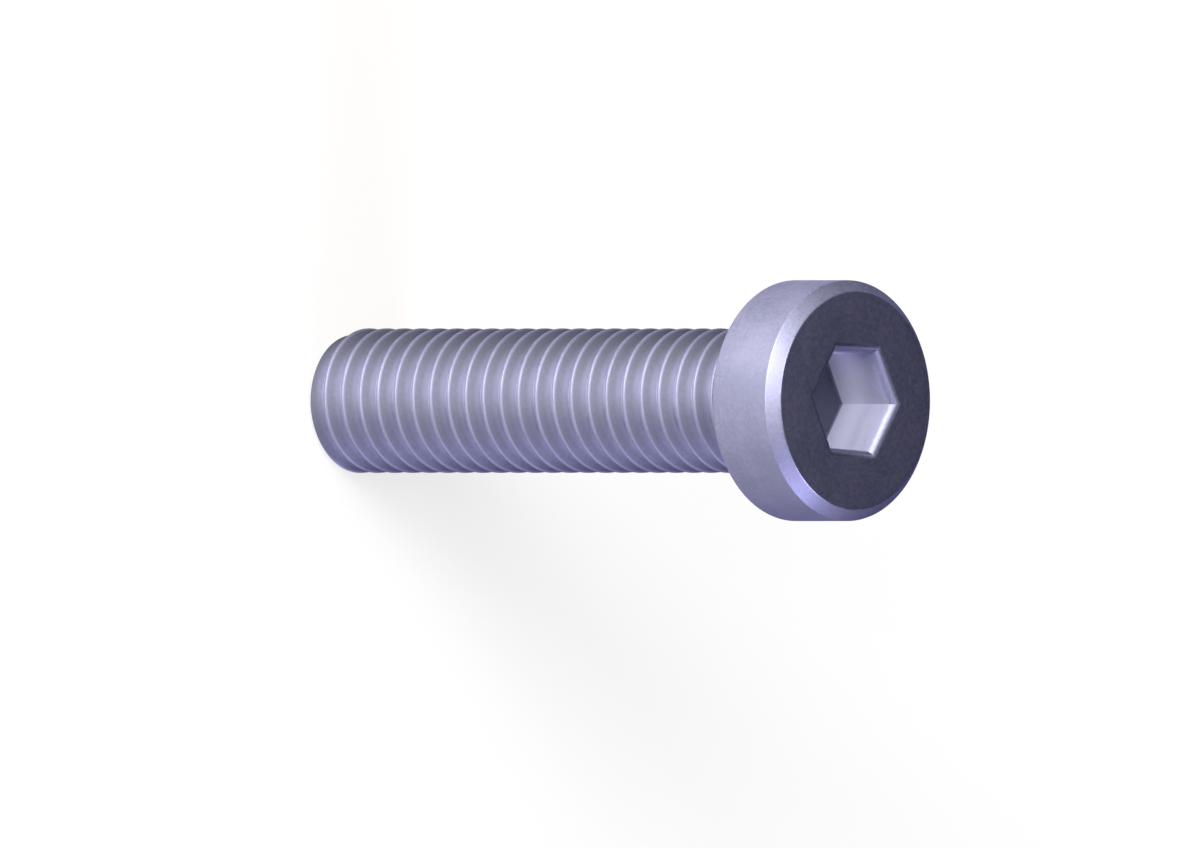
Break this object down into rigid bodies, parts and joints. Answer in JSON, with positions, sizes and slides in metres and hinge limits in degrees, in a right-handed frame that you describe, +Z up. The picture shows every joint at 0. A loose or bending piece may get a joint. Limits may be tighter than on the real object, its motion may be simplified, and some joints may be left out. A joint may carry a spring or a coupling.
{
  "type": "hexagon socket cap screw",
  "caption": "Low-head cap screw with a chamfered cylindrical head, a hexagon key socket with a rounded lip and a right-hand thread up to the head.",
  "frame": {"origin": "centre of the flat end face of the tip, which the screw stands on", "axes": "+Z runs up the shank to the head's face; the key socket has two flats square to X and two corners on Y"},
  "size_m": [0.01, 0.01, 0.0285],
  "materials": {
    "plated_steel": "satin zinc-plated steel with a faint blue passivation"
  },
  "bodies": {
    "root": {"bolt": "plated_steel"}
  },
  "joints": []
}
